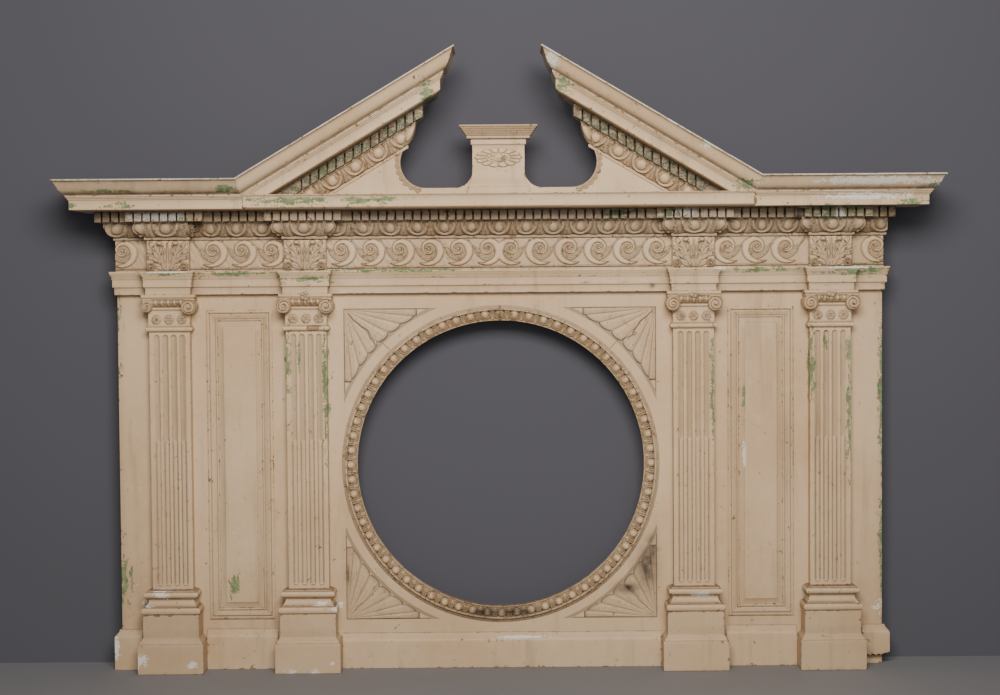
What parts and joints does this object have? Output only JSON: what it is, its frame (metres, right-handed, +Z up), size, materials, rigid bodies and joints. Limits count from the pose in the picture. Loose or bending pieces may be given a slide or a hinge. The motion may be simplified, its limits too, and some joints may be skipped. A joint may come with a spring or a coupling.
{
  "type": "overmantel",
  "caption": "Carved and painted wooden overmantel with a round opening, fluted Ionic pilasters, a full entablature and a broken pediment.",
  "frame": {"origin": "middle of the underside's bounding box, on the surface that it stands on", "axes": "+X to the right as seen from the front, +Y into the wall behind, +Z up; the front faces -Y"},
  "size_m": [2.406, 0.208, 1.7133],
  "materials": {
    "back_board_paint": "old cream paint, chipped and soiled",
    "ring_paint": "old cream paint, chipped and soiled",
    "spandrel_shell_top_left_paint": "old cream paint, chipped and soiled",
    "spandrel_shell_top_right_paint": "old cream paint, chipped and soiled",
    "spandrel_shell_bottom_left_paint": "old cream paint, chipped and soiled",
    "spandrel_shell_bottom_right_paint": "old cream paint, chipped and soiled",
    "panel_frame_left_paint": "old cream paint, chipped and soiled",
    "panel_frame_right_paint": "old cream paint, chipped and soiled",
    "fielded_panel_left_paint": "old cream paint, chipped and soiled",
    "fielded_panel_right_paint": "old cream paint, chipped and soiled",
    "skirting_left_end_paint": "old cream paint, chipped and soiled",
    "skirting_left_bay_paint": "old cream paint, chipped and soiled",
    "skirting_centre_paint": "old cream paint, chipped and soiled",
    "skirting_right_bay_paint": "old cream paint, chipped and soiled",
    "skirting_right_end_paint": "old cream paint, chipped and soiled",
    "pedestal_1_paint": "old cream paint, chipped and soiled",
    "pedestal_2_paint": "old cream paint, chipped and soiled",
    "pedestal_3_paint": "old cream paint, chipped and soiled",
    "pedestal_4_paint": "old cream paint, chipped and soiled",
    "base_1_paint": "old cream paint, chipped and soiled",
    "base_2_paint": "old cream paint, chipped and soiled",
    "base_3_paint": "old cream paint, chipped and soiled",
    "base_4_paint": "old cream paint, chipped and soiled",
    "shaft_1_paint": "old cream paint, chipped and soiled",
    "shaft_2_paint": "old cream paint, chipped and soiled",
    "shaft_3_paint": "old cream paint, chipped and soiled",
    "shaft_4_paint": "old cream paint, chipped and soiled",
    "capital_1_paint": "old cream paint, chipped and soiled",
    "capital_2_paint": "old cream paint, chipped and soiled",
    "capital_3_paint": "old cream paint, chipped and soiled",
    "capital_4_paint": "old cream paint, chipped and soiled",
    "architrave_paint": "old cream paint, chipped and soiled",
    "frieze_paint": "old cream paint, chipped and soiled",
    "frieze_block_1_paint": "old cream paint, chipped and soiled",
    "frieze_block_2_paint": "old cream paint, chipped and soiled",
    "frieze_block_3_paint": "old cream paint, chipped and soiled",
    "frieze_block_4_paint": "old cream paint, chipped and soiled",
    "egg_course_paint": "old cream paint, chipped and soiled",
    "dentil_course_paint": "old cream paint, chipped and soiled",
    "corona_left_paint": "old cream paint, chipped and soiled",
    "corona_centre_paint": "old cream paint, chipped and soiled",
    "corona_right_paint": "old cream paint, chipped and soiled",
    "sima_left_paint": "old cream paint, chipped and soiled",
    "sima_right_paint": "old cream paint, chipped and soiled",
    "raking_ovolo_left_paint": "old cream paint, chipped and soiled",
    "raking_ovolo_right_paint": "old cream paint, chipped and soiled",
    "raking_dentils_left_paint": "old cream paint, chipped and soiled",
    "raking_dentils_right_paint": "old cream paint, chipped and soiled",
    "raking_corona_left_paint": "old cream paint, chipped and soiled",
    "raking_corona_right_paint": "old cream paint, chipped and soiled",
    "raking_sima_left_paint": "old cream paint, chipped and soiled",
    "raking_sima_right_paint": "old cream paint, chipped and soiled",
    "tympanum_paint": "old cream paint, chipped and soiled",
    "finial_block_paint": "old cream paint, chipped and soiled",
    "finial_cap_paint": "old cream paint, chipped and soiled",
    "oval_flower_paint": "old cream paint, chipped and soiled"
  },
  "bodies": {
    "root": {"back_board": "back_board_paint", "ring": "ring_paint", "spandrel_shell_top_left": "spandrel_shell_top_left_paint", "spandrel_shell_top_right": "spandrel_shell_top_right_paint", "spandrel_shell_bottom_left": "spandrel_shell_bottom_left_paint", "spandrel_shell_bottom_right": "spandrel_shell_bottom_right_paint", "panel_frame_left": "panel_frame_left_paint", "panel_frame_right": "panel_frame_right_paint", "fielded_panel_left": "fielded_panel_left_paint", "fielded_panel_right": "fielded_panel_right_paint", "skirting_left_end": "skirting_left_end_paint", "skirting_left_bay": "skirting_left_bay_paint", "skirting_centre": "skirting_centre_paint", "skirting_right_bay": "skirting_right_bay_paint", "skirting_right_end": "skirting_right_end_paint", "pedestal_1": "pedestal_1_paint", "pedestal_2": "pedestal_2_paint", "pedestal_3": "pedestal_3_paint", "pedestal_4": "pedestal_4_paint", "base_1": "base_1_paint", "base_2": "base_2_paint", "base_3": "base_3_paint", "base_4": "base_4_paint", "shaft_1": "shaft_1_paint", "shaft_2": "shaft_2_paint", "shaft_3": "shaft_3_paint", "shaft_4": "shaft_4_paint", "capital_1": "capital_1_paint", "capital_2": "capital_2_paint", "capital_3": "capital_3_paint", "capital_4": "capital_4_paint", "architrave": "architrave_paint", "frieze": "frieze_paint", "frieze_block_1": "frieze_block_1_paint", "frieze_block_2": "frieze_block_2_paint", "frieze_block_3": "frieze_block_3_paint", "frieze_block_4": "frieze_block_4_paint", "egg_course": "egg_course_paint", "dentil_course": "dentil_course_paint", "corona_left": "corona_left_paint", "corona_centre": "corona_centre_paint", "corona_right": "corona_right_paint", "sima_left": "sima_left_paint", "sima_right": "sima_right_paint", "raking_ovolo_left": "raking_ovolo_left_paint", "raking_ovolo_right": "raking_ovolo_right_paint", "raking_dentils_left": "raking_dentils_left_paint", "raking_dentils_right": "raking_dentils_right_paint", "raking_corona_left": "raking_corona_left_paint", "raking_corona_right": "raking_corona_right_paint", "raking_sima_left": "raking_sima_left_paint", "raking_sima_right": "raking_sima_right_paint", "tympanum": "tympanum_paint", "finial_block": "finial_block_paint", "finial_cap": "finial_cap_paint", "oval_flower": "oval_flower_paint"}
  },
  "joints": []
}
